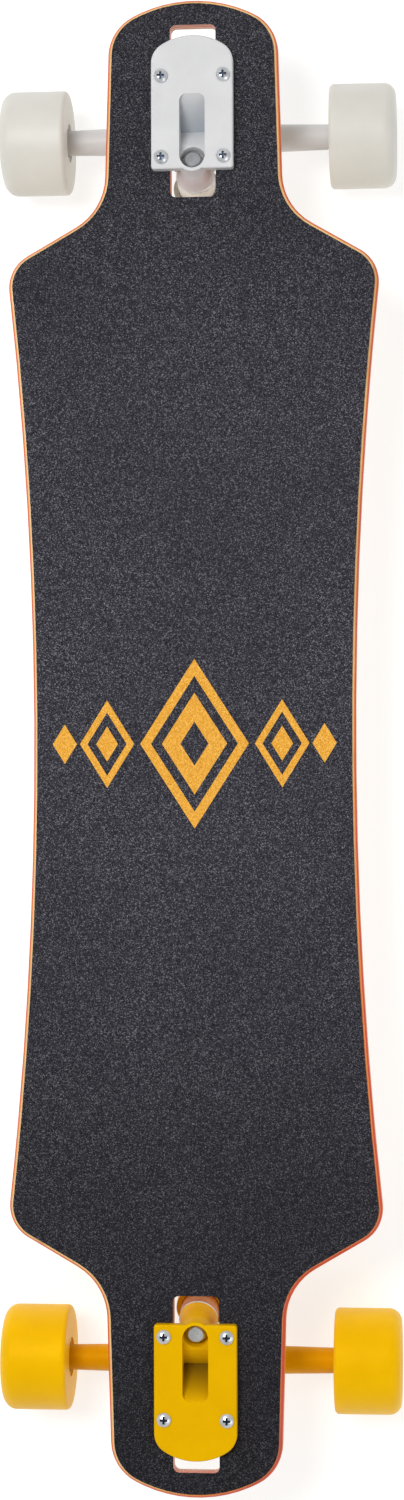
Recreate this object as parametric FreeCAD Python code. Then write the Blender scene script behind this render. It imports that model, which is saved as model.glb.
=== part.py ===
import FreeCAD, Part
import math
import os

# Drop-through longboard skateboard, each piece a separate solid, in millimetres.
# +X is to the right of a rider who faces the nose, +Y is towards the nose, +Z is up.
# The origin is on the floor, under the middle of the deck.

# Deck outline: waist, shoulder, neck and rounded nose, the same at both ends
deck_length = 990.0
deck_width = 245.9
deck_thickness = 11.0
side_cut = 16.3
shoulder_from_end = 191.0
shoulder_radius = 25.0
neck_from_end = 116.0
neck_radius = 40.0
neck_width = 118.0
nose_width = 113.5
nose_corner_radius = 30.0
nose_tip_radius = 88.0

# Deck section: a flat strip down the middle, then sides that curve up
concave_flat_width = 70.0
concave_radius = 700.0
deck_bottom_edge_radius = 3.5

# Grip tape on top of the deck
grip_thickness = 0.8
grip_edge_margin = 2.6

# Place of each truck, and the cut-out in the deck that it drops through
truck_from_end = 79.5
cutout_width = 30.5
cutout_inner_reach = 52.6
cutout_outer_reach = 62.7
cutout_corner_radius = 4.0

# Mounting screws and nuts
bolt_spacing_x = 41.3
bolt_spacing_y = 53.98
screw_diameter = 4.8
screw_hole_diameter = 5.4
screw_head_diameter = 9.3
screw_head_height = 2.9
screw_head_rim = 1.0
screw_recess_span = 5.0
screw_recess_slot = 1.5
screw_recess_depth = 2.0
screw_overhang = 1.2
mount_nut_flats = 8.0
mount_nut_height = 5.0

# Baseplate flange, measured from the middle of the bolt pattern
truck_height = 57.0
flange_thickness = 6.5
flange_width = 54.5
flange_inner_reach = 35.0
flange_outer_reach = 54.0
flange_tip_radius = 38.0
flange_corner_radius = 14.0
flange_inner_radius = 2.0
flange_edge_round = 1.2

# Baseplate hollow, kingpin boss and the web that joins it to the pivot boss
slot_width = 17.0
slot_outer_reach = 15.0
slot_corner_radius = 5.0
valley_from_centre = 7.5
valley_depth = 8.0
hollow_belly = 1.3
boss_rim_wall = 2.0
boss_seat_diameter = 26.0
boss_seat_thickness = 14.0
web_width = 27.0
web_axis_clearance = 7.5

# Kingpin, which leans so that its lower end points to the middle of the deck
kingpin_from_centre = 27.5
kingpin_head_rise = 1.0
kingpin_tilt_deg = 20.0
kingpin_diameter = 9.5
kingpin_head_diameter = 12.4
kingpin_head_height = 6.0
kingpin_head_round = 1.2
kingpin_head_recess = 1.0
kingpin_nut_flats = 14.3
kingpin_nut_height = 9.0
kingpin_overhang = 3.0

# Bushings and cup washers on the kingpin
bushing_diameter = 25.0
boardside_bushing_height = 14.5
roadside_bushing_height = 11.5
roadside_bushing_end_diameter = 20.0
boardside_washer_diameter = 25.4
roadside_washer_diameter = 21.0
bushing_washer_thickness = 2.0

# Pivot: a ball on the hanger in a cup in the baseplate
pivot_from_centre = 14.0
pivot_depth = 9.0
pivot_ball_diameter = 14.8
pivot_stem_diameter = 12.0
pivot_cup_wall = 1.8
pivot_cup_reach = 7.0
pivot_boss_wall = 3.5

# Hanger
hanger_width = 180.0
hanger_centre_diameter = 21.0
hanger_end_diameter = 16.8
hanger_ring_diameter = 32.0
hanger_ring_bore = 19.0
hanger_ring_height = 9.0
hanger_seat_depth = 1.5
hanger_web_thickness = 18.0
hanger_pivot_gap = 3.0
hanger_stem_length = 28.0

# Axle and what is threaded on each end of it
axle_inset = 2.5
axle_diameter = 8.0
axle_overhang = 2.5
axle_end_chamfer = 0.8
axle_nut_flats = 13.0
axle_nut_height = 6.5
speed_washer_diameter = 12.0
speed_washer_thickness = 1.0
spacer_diameter = 10.4
spacer_length = 10.0

# Ball bearings
bearing_diameter = 22.0
bearing_width = 7.0
bearing_inner_ring_diameter = 12.0
bearing_outer_ring_bore = 18.8
ball_diameter = 3.96
ball_count = 7
cage_thickness = 1.0
cage_width = 5.0
shield_thickness = 0.4
shield_gap = 0.25

# Wheels
wheel_diameter = 70.0
wheel_width = 44.6
wheel_inner_radius = 3.0
wheel_lip_radius = 8.5
wheel_recess_diameter = 26.0
wheel_recess_depth = 1.2
wheel_bearing_inset = 1.8
wheel_dish_depth = 4.0
wheel_core_wall = 3.0
wheel_web_bore = 18.0

# Clearances: between fixed pieces, between turning pieces, and what a cut runs past a face
fit_clearance = 0.05
running_clearance = 0.08
seat_clearance = 0.3
overrun = 2.0

# Shares, chosen by hand, of the sizes that they follow
nut_chamfer_share = 0.12
hanger_ring_join_share = 0.8
hanger_stem_join_share = 0.6
hanger_beam_join_share = 0.85
half_turn_deg = 180.0
full_turn_deg = 360.0

# Heights above the floor
axle_z = wheel_diameter / 2
flange_top_z = axle_z + truck_height
seat_z = flange_top_z - flange_thickness
deck_top_z = seat_z - grip_thickness
deck_bottom_z = deck_top_z - deck_thickness
truck_y = deck_length / 2 - truck_from_end

# Stack along the kingpin, measured down its axis from the top of the head
head_end_s = kingpin_head_height
boss_end_s = head_end_s + boss_seat_thickness
boardside_washer_end_s = boss_end_s + bushing_washer_thickness
boardside_bushing_end_s = boardside_washer_end_s + boardside_bushing_height
ring_start_s = boardside_bushing_end_s - hanger_seat_depth
ring_end_s = ring_start_s + hanger_ring_height
roadside_bushing_start_s = ring_end_s - hanger_seat_depth
roadside_bushing_end_s = roadside_bushing_start_s + roadside_bushing_height
roadside_washer_end_s = roadside_bushing_end_s + bushing_washer_thickness
kingpin_nut_end_s = roadside_washer_end_s + kingpin_nut_height
kingpin_end_s = kingpin_nut_end_s + kingpin_overhang

# Stack along the axle, measured out from the middle of the hanger
washer_start_x = hanger_width / 2
inner_bearing_x = washer_start_x + speed_washer_thickness
spacer_x = inner_bearing_x + bearing_width
outer_bearing_x = spacer_x + spacer_length
outer_washer_x = outer_bearing_x + bearing_width
axle_nut_x = outer_washer_x + speed_washer_thickness
axle_end_x = axle_nut_x + axle_nut_height + axle_overhang
wheel_inner_x = inner_bearing_x - wheel_bearing_inset
axle_bore = axle_diameter / 2 + fit_clearance


def vector(x, y, z):
    return FreeCAD.Vector(x, y, z)


def in_truck(x, outward, rise):
    """Point of the front truck, from the bolt pattern's centre on the flange's underside."""
    return vector(x, truck_y + outward, seat_z + rise)


def direction(outward, rise):
    """Unit direction in the truck's middle plane."""
    return vector(0, outward, rise).normalize()


# Kingpin axis and steering axis of the front truck
tilt = math.radians(kingpin_tilt_deg)
kingpin_top = in_truck(0, -kingpin_from_centre, kingpin_head_rise)
kingpin_down = direction(-math.sin(tilt), -math.cos(tilt))
kingpin_outward = direction(math.cos(tilt), -math.sin(tilt))
pivot_point = in_truck(0, pivot_from_centre, -pivot_depth)
axle_y = truck_y - axle_inset
axle_point = vector(0, axle_y, axle_z)


def on_kingpin(distance):
    return kingpin_top + kingpin_down * distance


ring_point = on_kingpin((ring_start_s + ring_end_s) / 2)
steer_direction = (pivot_point - ring_point).normalize()
steer_side = vector(0, -steer_direction.z, steer_direction.y)


def on_stem(distance):
    """Point on the steering axis, measured from the pivot towards the hanger's ring."""
    return pivot_point - steer_direction * distance


def placed(shape, origin, axis):
    """Copy of a shape made along +Z, moved so that +Z runs along the axis from the origin."""
    turn = FreeCAD.Rotation(vector(0, 0, 1), axis)
    result = shape.copy()
    result.Placement = FreeCAD.Placement(origin, turn).multiply(result.Placement)
    return result


def lathe(edges_or_points):
    """Solid turned about +Z from a closed outline of (radius, height) points or ready edges."""
    if isinstance(edges_or_points[0], tuple):
        corners = [vector(radius, 0, height) for radius, height in edges_or_points]
        wire = Part.makePolygon(corners + corners[:1])
    else:
        wire = Part.Wire(edges_or_points)
    return Part.Face(wire).revolve(vector(0, 0, 0), vector(0, 0, 1), full_turn_deg)


def tube(outer_radius, inner_radius, start, end):
    return lathe([(inner_radius, start), (outer_radius, start), (outer_radius, end), (inner_radius, end)])


def rod(radius, start, end):
    return Part.makeCylinder(radius, end - start, vector(0, 0, start))


def tangent_outline(circles):
    """Closed wire that rolls round directed circles (x, y, radius), counter-clockwise positive.

    Neighbouring circles are joined by their common tangent line, or touch each other.
    """
    count = len(circles)
    starts = [None] * count
    ends = [None] * count
    normals = []
    for index in range(count):
        following = (index + 1) % count
        x0, y0, r0 = circles[index]
        x1, y1, r1 = circles[following]
        across = vector(x1 - x0, y1 - y0, 0)
        lean = max(-1, min(1, (r1 - r0) / across.Length))
        along = across.normalize()
        left = vector(-along.y, along.x, 0)
        normal = along * lean + left * math.sqrt(1 - lean * lean)
        normals.append(normal)
        ends[index] = vector(x0, y0, 0) - normal * r0
        starts[following] = vector(x1, y1, 0) - normal * r1
        if (starts[following] - ends[index]).Length < fit_clearance:
            ends[index] = (starts[following] + ends[index]) / 2
            starts[following] = ends[index]
    edges = []
    for index in range(count):
        x, y, radius = circles[index]
        middle = vector(x, y, 0) - (normals[index - 1] + normals[index]).normalize() * radius
        edges.append(Part.Arc(starts[index], middle, ends[index]).toShape())
        next_start = starts[(index + 1) % count]
        if (next_start - ends[index]).Length > fit_clearance:
            edges.append(Part.LineSegment(ends[index], next_start).toShape())
    return Part.Wire(edges)


def prism(wire, bottom, top):
    face = Part.Face(wire)
    face.translate(vector(0, 0, bottom))
    return face.extrude(vector(0, 0, top - bottom))


def rounded_box(left, right, back, front, radius, bottom, top):
    corners = [
        (right - radius, back + radius, radius),
        (right - radius, front - radius, radius),
        (left + radius, front - radius, radius),
        (left + radius, back + radius, radius),
    ]
    return prism(tangent_outline(corners), bottom, top)


def plate(outline, thickness):
    """Plate in the truck's middle plane, centred on it, from a closed wire or corner points."""
    if isinstance(outline, list):
        outline = Part.makePolygon(outline + outline[:1])
    half = vector(thickness / 2, 0, 0)
    face = Part.Face(outline)
    face.translate(-half)
    return face.extrude(half * 2)


def half_turn(shape, x, y):
    result = shape.copy()
    result.rotate(vector(x, y, 0), vector(0, 0, 1), half_turn_deg)
    return result


def hex_nut(flats, height, bore_radius):
    """Hexagon nut along +Z from zero, with both ends chamfered at the corners."""
    corner_radius = flats / math.sqrt(3)
    chamfer = flats * nut_chamfer_share
    corners = []
    for index in range(6):
        angle = math.radians(full_turn_deg * index / 6)
        corners.append(vector(corner_radius * math.cos(angle), corner_radius * math.sin(angle), 0))
    hexagon = Part.Face(Part.makePolygon(corners + corners[:1])).extrude(vector(0, 0, height))
    inscribed = flats / 2
    turned = lathe([
        (bore_radius, 0),
        (inscribed, 0),
        (corner_radius, chamfer / 2),
        (corner_radius, height - chamfer / 2),
        (inscribed, height),
        (bore_radius, height),
    ])
    return hexagon.common(turned)


def bolt_places():
    places = []
    for side_x in (-1, 1):
        for side_y in (-1, 1):
            places.append((side_x * bolt_spacing_x / 2, truck_y + side_y * bolt_spacing_y / 2))
    return places


# Deck and grip tape

def deck_outline(inset):
    """Outline of the deck, drawn in all round by the inset."""
    half_width = deck_width / 2
    half_length = deck_length / 2
    waist = half_width - side_cut
    shoulder_y = half_length - shoulder_from_end
    offset = shoulder_radius - side_cut
    waist_radius = (offset ** 2 + shoulder_y ** 2 - shoulder_radius ** 2) / (2 * side_cut)
    nose_x = nose_width / 2 - nose_corner_radius
    tip_y = half_length - nose_tip_radius
    nose_y = tip_y + math.sqrt((nose_tip_radius - nose_corner_radius) ** 2 - nose_x ** 2)
    waist_circle = (waist + waist_radius, 0, -waist_radius)
    quarter = [
        (half_width - shoulder_radius, shoulder_y, shoulder_radius),
        (neck_width / 2 + neck_radius, half_length - neck_from_end, -neck_radius),
        (nose_x, nose_y, nose_corner_radius),
    ]
    tip = (0, tip_y, nose_tip_radius)
    upper = quarter + [tip] + [(-x, y, radius) for x, y, radius in reversed(quarter)]
    half_loop = [waist_circle] + upper
    loop = half_loop + [(-x, -y, radius) for x, y, radius in half_loop]
    return tangent_outline([(x, y, radius - inset) for x, y, radius in loop])


def concave_section(rise, thickness):
    """Bar with the deck's curved section, whose top lies above the deck's top by the rise."""
    flat = concave_flat_width / 2
    reach = deck_width / 2 + overrun
    half_length = vector(0, deck_length / 2 + overrun, 0)
    sweep = math.asin((reach - flat) / concave_radius)

    def side_arc(sign, radius):
        points = []
        for share in (0, 1 / 2, 1):
            angle = sweep * share
            points.append(vector(
                sign * (flat + radius * math.sin(angle)),
                0,
                deck_top_z + concave_radius - radius * math.cos(angle),
            ))
        return points

    top = concave_radius - rise
    bottom = top + thickness
    top_right = side_arc(1, top)
    top_left = side_arc(-1, top)
    low_right = side_arc(1, bottom)
    low_left = side_arc(-1, bottom)
    outline = [
        Part.LineSegment(low_left[0], low_right[0]),
        Part.Arc(*low_right),
        Part.LineSegment(low_right[2], top_right[2]),
        Part.Arc(*reversed(top_right)),
        Part.LineSegment(top_right[0], top_left[0]),
        Part.Arc(*top_left),
        Part.LineSegment(top_left[2], low_left[2]),
        Part.Arc(*reversed(low_left)),
    ]
    face = Part.Face(Part.Wire([piece.toShape() for piece in outline]))
    face.translate(-half_length)
    return face.extrude(half_length * 2)


def truck_openings(bottom, top):
    """Drop-through cut-outs and screw holes of both trucks."""
    half = cutout_width / 2
    cutters = [rounded_box(
        -half, half, truck_y - cutout_inner_reach, truck_y + cutout_outer_reach,
        cutout_corner_radius, bottom, top,
    )]
    for x, y in bolt_places():
        cutters.append(Part.makeCylinder(screw_hole_diameter / 2, top - bottom, vector(x, y, bottom)))
    return cutters + [half_turn(cutter, 0, 0) for cutter in cutters]


def concave_rise(x):
    """How far the deck's surfaces have curved up at x."""
    beyond = max(0, abs(x) - concave_flat_width / 2)
    return concave_radius - math.sqrt(concave_radius ** 2 - beyond ** 2)


def make_deck():
    """Deck with a square top edge, under the grip tape's rim, and a rounded bottom edge."""
    bottom = deck_bottom_z - overrun
    top = deck_top_z + deck_thickness + overrun
    blank = concave_section(0, deck_thickness).common(prism(deck_outline(0), bottom, top))
    rim = []
    for edge in blank.Edges:
        start = edge.valueAt(edge.FirstParameter)
        end = edge.valueAt(edge.LastParameter)
        middle = edge.valueAt((edge.FirstParameter + edge.LastParameter) / 2)
        upright = abs(edge.tangentAt(edge.FirstParameter).z) > 1 / 2
        on_flat_side = abs(abs(start.x) - concave_flat_width / 2) < fit_clearance
        runs_along_flat = on_flat_side and abs(start.x - end.x) < fit_clearance
        lower = middle.z < deck_top_z + concave_rise(middle.x) - deck_thickness / 2
        if lower and not upright and not runs_along_flat:
            rim.append(edge)
    rounded = blank.makeFillet(deck_bottom_edge_radius, rim)
    return rounded.cut(truck_openings(bottom, top)).removeSplitter()


def make_grip_tape():
    bottom = deck_bottom_z - overrun
    top = deck_top_z + deck_thickness + overrun
    sheet = concave_section(grip_thickness, grip_thickness - fit_clearance)
    sheet = sheet.common(prism(deck_outline(grip_edge_margin), bottom, top))
    return sheet.cut(truck_openings(bottom, top)).removeSplitter()


# Baseplate and the pieces that are fixed to it

def make_baseplate():
    half = flange_width / 2
    corner_x = half - flange_corner_radius
    tip_y = flange_outer_reach - flange_tip_radius
    corner_y = tip_y + math.sqrt((flange_tip_radius - flange_corner_radius) ** 2 - corner_x ** 2)
    inner_x = half - flange_inner_radius
    inner_y = -flange_inner_reach + flange_inner_radius
    circles = [
        (inner_x, inner_y, flange_inner_radius),
        (corner_x, corner_y, flange_corner_radius),
        (0, tip_y, flange_tip_radius),
        (-corner_x, corner_y, flange_corner_radius),
        (-inner_x, inner_y, flange_inner_radius),
    ]
    outline = tangent_outline([(x, truck_y + y, radius) for x, y, radius in circles])
    flange = prism(outline, seat_z, flange_top_z)
    top_edges = [edge for edge in flange.Edges if edge.BoundBox.ZMin > flange_top_z - fit_clearance]
    flange = flange.makeFillet(flange_edge_round, top_edges)

    pocket_radius = slot_width / 2
    boss_radius = pocket_radius + boss_rim_wall
    boss_top_s = -(flange_thickness - kingpin_head_rise + boss_radius * math.sin(tilt)) / math.cos(tilt)
    boss = lathe([
        (0, boss_top_s),
        (boss_radius, boss_top_s),
        (boss_radius, head_end_s),
        (boss_seat_diameter / 2, boss_end_s),
        (0, boss_end_s),
    ])
    boss = placed(boss, kingpin_top, kingpin_down)
    headroom = Part.makeBox(deck_width, deck_width, deck_width)
    headroom.translate(vector(-deck_width / 2, truck_y - deck_width / 2, flange_top_z))
    boss = boss.cut(headroom)

    cup_radius = pivot_ball_diameter / 2 + running_clearance + pivot_cup_wall + fit_clearance
    cup_end = pivot_ball_diameter / 2 + running_clearance + pivot_cup_wall
    pivot_boss_radius = cup_radius + pivot_boss_wall
    pivot_boss = placed(
        rod(pivot_boss_radius, -pivot_cup_reach, cup_end + pivot_boss_wall), pivot_point, steer_direction,
    )
    pivot_boss = pivot_boss.cut(headroom)

    web_inner = on_kingpin(boss_end_s)
    side = steer_side * web_axis_clearance
    low_inner = on_stem((pivot_point - web_inner).dot(steer_direction)) + side
    low_outer = pivot_point + side
    top_z = seat_z + flange_thickness / 2
    web = plate([
        vector(0, low_inner.y, top_z),
        vector(0, low_inner.y, max(low_inner.z, web_inner.z)),
        vector(0, low_outer.y, low_outer.z),
        vector(0, pivot_point.y, top_z),
    ], web_width)

    body = flange.fuse([boss, pivot_boss, web])
    ridge = on_kingpin(-kingpin_head_recess) + kingpin_outward * boss_radius
    hollow_start = on_kingpin(-kingpin_head_recess)
    hollow_top = flange_top_z + overrun
    hollow_end = truck_y + slot_outer_reach
    valley = in_truck(0, -valley_from_centre, -valley_depth)
    lip = vector(0, hollow_end, flange_top_z)
    slope = lip - valley
    belly = (valley + lip) / 2 + direction(slope.z, -slope.y) * hollow_belly
    corners = [
        lip,
        vector(0, hollow_end, hollow_top),
        vector(0, hollow_start.y, hollow_top),
        hollow_start,
        ridge,
        valley,
    ]
    floor = [Part.LineSegment(start, end).toShape() for start, end in zip(corners, corners[1:])]
    floor.append(Part.Arc(valley, belly, lip).toShape())
    hollow = plate(Part.Wire(floor), slot_width)
    hollow = hollow.common(rounded_box(
        -pocket_radius, pocket_radius, truck_y - flange_inner_reach - slot_width, hollow_end,
        slot_corner_radius, deck_bottom_z, hollow_top + overrun,
    ))
    pocket = placed(rod(pocket_radius, boss_top_s - overrun, head_end_s), kingpin_top, kingpin_down)
    shank = rod(kingpin_diameter / 2 + fit_clearance, head_end_s - overrun, boss_end_s + overrun)
    shank = placed(shank, kingpin_top, kingpin_down)
    cup_seat = rod(cup_radius, -pivot_cup_reach - overrun, cup_end + fit_clearance)
    cup_seat = placed(cup_seat, pivot_point, steer_direction)
    cutters = [hollow, pocket, shank, cup_seat]
    for x, y in bolt_places():
        cutters.append(Part.makeCylinder(
            screw_hole_diameter / 2, flange_thickness + overrun * 2, vector(x, y, seat_z - overrun),
        ))
    return body.cut(cutters).removeSplitter()


def make_pivot_cup():
    cavity = pivot_ball_diameter / 2 + running_clearance
    outer = cavity + pivot_cup_wall
    body = rod(outer, -pivot_cup_reach, outer)
    hollow = Part.makeSphere(cavity).fuse(rod(cavity, -pivot_cup_reach - overrun, 0))
    return placed(body.cut(hollow), pivot_point, steer_direction)


def make_kingpin():
    head = kingpin_head_diameter / 2
    shank = kingpin_diameter / 2
    return placed(lathe([
        (0, 0),
        (head - kingpin_head_round, 0),
        (head, kingpin_head_round),
        (head, head_end_s),
        (shank, head_end_s),
        (shank, kingpin_end_s - axle_end_chamfer),
        (shank - axle_end_chamfer, kingpin_end_s),
        (0, kingpin_end_s),
    ]), kingpin_top, kingpin_down)


def make_kingpin_nut():
    nut = hex_nut(kingpin_nut_flats, kingpin_nut_height, kingpin_diameter / 2 + fit_clearance)
    return placed(nut, on_kingpin(roadside_washer_end_s), kingpin_down)


def on_kingpin_ring(points):
    return placed(lathe(points), kingpin_top, kingpin_down)


def make_boardside_washer():
    bore = kingpin_diameter / 2 + fit_clearance
    outer = boardside_washer_diameter / 2
    return on_kingpin_ring([
        (bore, boss_end_s),
        (outer, boss_end_s),
        (outer, boardside_washer_end_s),
        (bore, boardside_washer_end_s),
    ])


def make_boardside_bushing():
    bore = kingpin_diameter / 2 + seat_clearance
    outer = bushing_diameter / 2
    return on_kingpin_ring([
        (bore, boardside_washer_end_s),
        (outer, boardside_washer_end_s),
        (outer, boardside_bushing_end_s),
        (bore, boardside_bushing_end_s),
    ])


def make_roadside_bushing():
    bore = kingpin_diameter / 2 + seat_clearance
    return on_kingpin_ring([
        (bore, roadside_bushing_start_s),
        (bushing_diameter / 2, roadside_bushing_start_s),
        (bushing_diameter / 2, ring_end_s),
        (roadside_bushing_end_diameter / 2, roadside_bushing_end_s),
        (bore, roadside_bushing_end_s),
    ])


def make_roadside_washer():
    bore = kingpin_diameter / 2 + fit_clearance
    outer = roadside_washer_diameter / 2
    return on_kingpin_ring([
        (bore, roadside_bushing_end_s),
        (outer, roadside_bushing_end_s),
        (outer, roadside_washer_end_s),
        (bore, roadside_washer_end_s),
    ])


def make_mounting_screws():
    """Pan-head cross-recess screws, heads on the flange."""
    head = screw_head_diameter / 2
    shank = screw_diameter / 2
    bottom = deck_bottom_z - mount_nut_height - screw_overhang
    dome = screw_head_height - screw_head_rim
    dome_radius = (head ** 2 + dome ** 2) / (2 * dome)
    dome_angle = math.asin(head / dome_radius) / 2
    dome_centre = screw_head_height - dome_radius
    crown = Part.Arc(
        vector(head, 0, screw_head_rim),
        vector(dome_radius * math.sin(dome_angle), 0, dome_centre + dome_radius * math.cos(dome_angle)),
        vector(0, 0, screw_head_height),
    ).toShape()
    corners = [
        vector(0, 0, screw_head_height),
        vector(0, 0, bottom - flange_top_z),
        vector(shank, 0, bottom - flange_top_z),
        vector(shank, 0, 0),
        vector(head, 0, 0),
        vector(head, 0, screw_head_rim),
    ]
    edges = [crown]
    for start, end in zip(corners, corners[1:]):
        edges.append(Part.LineSegment(start, end).toShape())
    screw = lathe(Part.__sortEdges__(edges))
    span = screw_recess_span
    slot = screw_recess_slot
    floor = screw_head_height - screw_recess_depth
    one = Part.makeBox(span, slot, screw_recess_depth + overrun, vector(-span / 2, -slot / 2, floor))
    other = Part.makeBox(slot, span, screw_recess_depth + overrun, vector(-slot / 2, -span / 2, floor))
    screw = screw.cut(one.fuse(other))
    upward = vector(0, 0, 1)
    return Part.makeCompound([placed(screw, vector(x, y, flange_top_z), upward) for x, y in bolt_places()])


def make_mounting_nuts():
    nut = hex_nut(mount_nut_flats, mount_nut_height, screw_diameter / 2 + fit_clearance)
    bottom = deck_bottom_z - mount_nut_height
    upward = vector(0, 0, 1)
    return Part.makeCompound([placed(nut, vector(x, y, bottom), upward) for x, y in bolt_places()])


# Hanger, axle and the pieces that are fixed to them

def make_hanger():
    ring_radius = hanger_ring_diameter / 2
    ring = placed(rod(ring_radius, ring_start_s, ring_end_s), kingpin_top, kingpin_down)
    centre = hanger_centre_diameter / 2
    end = hanger_end_diameter / 2
    reach = hanger_width / 2
    across = vector(1, 0, 0)
    beam = lathe([(0, -reach), (end, -reach), (centre, 0), (end, reach), (0, reach)])
    beam = placed(beam, axle_point, across)

    stem_start = pivot_cup_reach + hanger_pivot_gap
    stem = placed(rod(pivot_stem_diameter / 2, -hanger_stem_length, 0), pivot_point, steer_direction)
    ball = placed(Part.makeSphere(pivot_ball_diameter / 2), pivot_point, steer_direction)
    side = steer_side * (pivot_stem_diameter / 2 * hanger_stem_join_share)
    ring_edge = ring_point + kingpin_outward * (ring_radius * hanger_ring_join_share)
    ring_step = kingpin_down * (hanger_ring_height / 2 * hanger_ring_join_share)
    beam_step = centre * hanger_beam_join_share
    web = plate([
        ring_edge - ring_step,
        on_stem(hanger_stem_length) + side,
        on_stem(stem_start) + side,
        on_stem(stem_start) - side,
        axle_point + vector(0, beam_step, 0),
        axle_point - vector(0, 0, beam_step),
        ring_edge + ring_step,
    ], hanger_web_thickness)
    body = ring.fuse([beam, stem, ball, web])

    seat_radius = bushing_diameter / 2 + seat_clearance
    ring_cutters = [
        rod(hanger_ring_bore / 2, ring_start_s - overrun, ring_end_s + overrun),
        rod(seat_radius, ring_start_s - overrun, boardside_bushing_end_s),
        rod(seat_radius, roadside_bushing_start_s, ring_end_s + overrun),
    ]
    cutters = [placed(cutter, kingpin_top, kingpin_down) for cutter in ring_cutters]
    cutters.append(placed(rod(axle_bore, -reach - overrun, reach + overrun), axle_point, across))
    return body.cut(cutters).removeSplitter()


def make_axle():
    radius = axle_diameter / 2
    reach = axle_end_x
    return placed(lathe([
        (0, -reach),
        (radius - axle_end_chamfer, -reach),
        (radius, -reach + axle_end_chamfer),
        (radius, reach - axle_end_chamfer),
        (radius - axle_end_chamfer, reach),
        (0, reach),
    ]), axle_point, vector(1, 0, 0))


def on_axle(shape, x):
    """Piece made along +Z, put on the right-hand end of the axle with its start at x."""
    return placed(shape, vector(x, axle_y, axle_z), vector(1, 0, 0))


def both_ends(right_hand):
    """Right-hand pieces with their left-hand twins."""
    return right_hand + [half_turn(shape, 0, axle_y) for shape in right_hand]


def make_axle_nuts():
    nut = hex_nut(axle_nut_flats, axle_nut_height, axle_bore)
    return Part.makeCompound(both_ends([on_axle(nut, axle_nut_x)]))


def make_speed_washers():
    washer = tube(speed_washer_diameter / 2, axle_bore, 0, speed_washer_thickness)
    return Part.makeCompound(both_ends([on_axle(washer, x) for x in (washer_start_x, outer_washer_x)]))


def make_bearing_spacers():
    spacer = tube(spacer_diameter / 2, axle_bore, 0, spacer_length)
    return Part.makeCompound(both_ends([on_axle(spacer, spacer_x)]))


# Bearings, each along +Z from zero

ball_pitch_radius = (bearing_inner_ring_diameter + bearing_outer_ring_bore) / 4


def ball_groove():
    groove_radius = ball_diameter / 2 + running_clearance
    return Part.makeTorus(ball_pitch_radius, groove_radius, vector(0, 0, bearing_width / 2))


def ball_centres():
    centres = []
    for index in range(ball_count):
        angle = math.radians(full_turn_deg * index / ball_count)
        x = ball_pitch_radius * math.cos(angle)
        y = ball_pitch_radius * math.sin(angle)
        centres.append(vector(x, y, bearing_width / 2))
    return centres


def inner_ring():
    return tube(bearing_inner_ring_diameter / 2, axle_bore, 0, bearing_width).cut(ball_groove())


def outer_ring():
    return tube(bearing_diameter / 2, bearing_outer_ring_bore / 2, 0, bearing_width).cut(ball_groove())


def balls():
    return [Part.makeSphere(ball_diameter / 2, centre) for centre in ball_centres()]


def cage():
    start = (bearing_width - cage_width) / 2
    outer = ball_pitch_radius + cage_thickness / 2
    ring = tube(outer, outer - cage_thickness, start, start + cage_width)
    pocket_radius = ball_diameter / 2 + running_clearance
    middle = vector(0, 0, bearing_width / 2)
    pockets = []
    for centre in ball_centres():
        pockets.append(Part.makeCylinder(pocket_radius, bearing_diameter, middle, centre - middle))
    return ring.cut(pockets)


def shields():
    outer = bearing_outer_ring_bore / 2 - fit_clearance
    inner = bearing_inner_ring_diameter / 2 + shield_gap
    low = tube(outer, inner, 0, shield_thickness)
    high = tube(outer, inner, bearing_width - shield_thickness, bearing_width)
    return [low, high]


def right_bearings(shapes):
    """Copies of a bearing's pieces at both bearing places of the right-hand wheel."""
    return [on_axle(shape, x) for x in (inner_bearing_x, outer_bearing_x) for shape in shapes]


# Wheel, along +Z from its inner face

def make_wheel():
    radius = wheel_diameter / 2
    pocket = bearing_diameter / 2 + fit_clearance
    recess = wheel_recess_diameter / 2
    web_bore = wheel_web_bore / 2
    web_start = spacer_x - wheel_inner_x
    web_end = outer_bearing_x - wheel_inner_x
    mouth_height = wheel_width - wheel_dish_depth
    mouth_radius = pocket + wheel_core_wall
    lip_radius = radius - wheel_lip_radius
    slant = 1 - math.cos(math.pi / 4)

    def point(r, height):
        return vector(r, 0, height)

    corners = [
        point(lip_radius, wheel_width),
        point(mouth_radius, mouth_height),
        point(pocket, mouth_height),
        point(pocket, web_end),
        point(web_bore, web_end),
        point(web_bore, web_start),
        point(pocket, web_start),
        point(pocket, wheel_recess_depth),
        point(recess, wheel_recess_depth),
        point(recess, 0),
        point(radius - wheel_inner_radius, 0),
    ]
    edges = [Part.LineSegment(start, end).toShape() for start, end in zip(corners, corners[1:])]
    edges.append(Part.Arc(
        point(radius - wheel_inner_radius, 0),
        point(radius - wheel_inner_radius * slant, wheel_inner_radius * slant),
        point(radius, wheel_inner_radius),
    ).toShape())
    edges.append(Part.LineSegment(
        point(radius, wheel_inner_radius), point(radius, wheel_width - wheel_lip_radius),
    ).toShape())
    edges.append(Part.Arc(
        point(radius, wheel_width - wheel_lip_radius),
        point(radius - wheel_lip_radius * slant, wheel_width - wheel_lip_radius * slant),
        point(lip_radius, wheel_width),
    ).toShape())
    return lathe(edges)


def wheel_pieces():
    """Pieces that turn with one wheel, on the right-hand end of the front axle."""
    return {
        "wheel": [on_axle(make_wheel(), wheel_inner_x)],
        "bearing_outer_rings": right_bearings([outer_ring()]),
        "bearing_balls": right_bearings(balls()),
        "bearing_cages": right_bearings([cage()]),
        "bearing_shields": right_bearings(shields()),
    }


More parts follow.
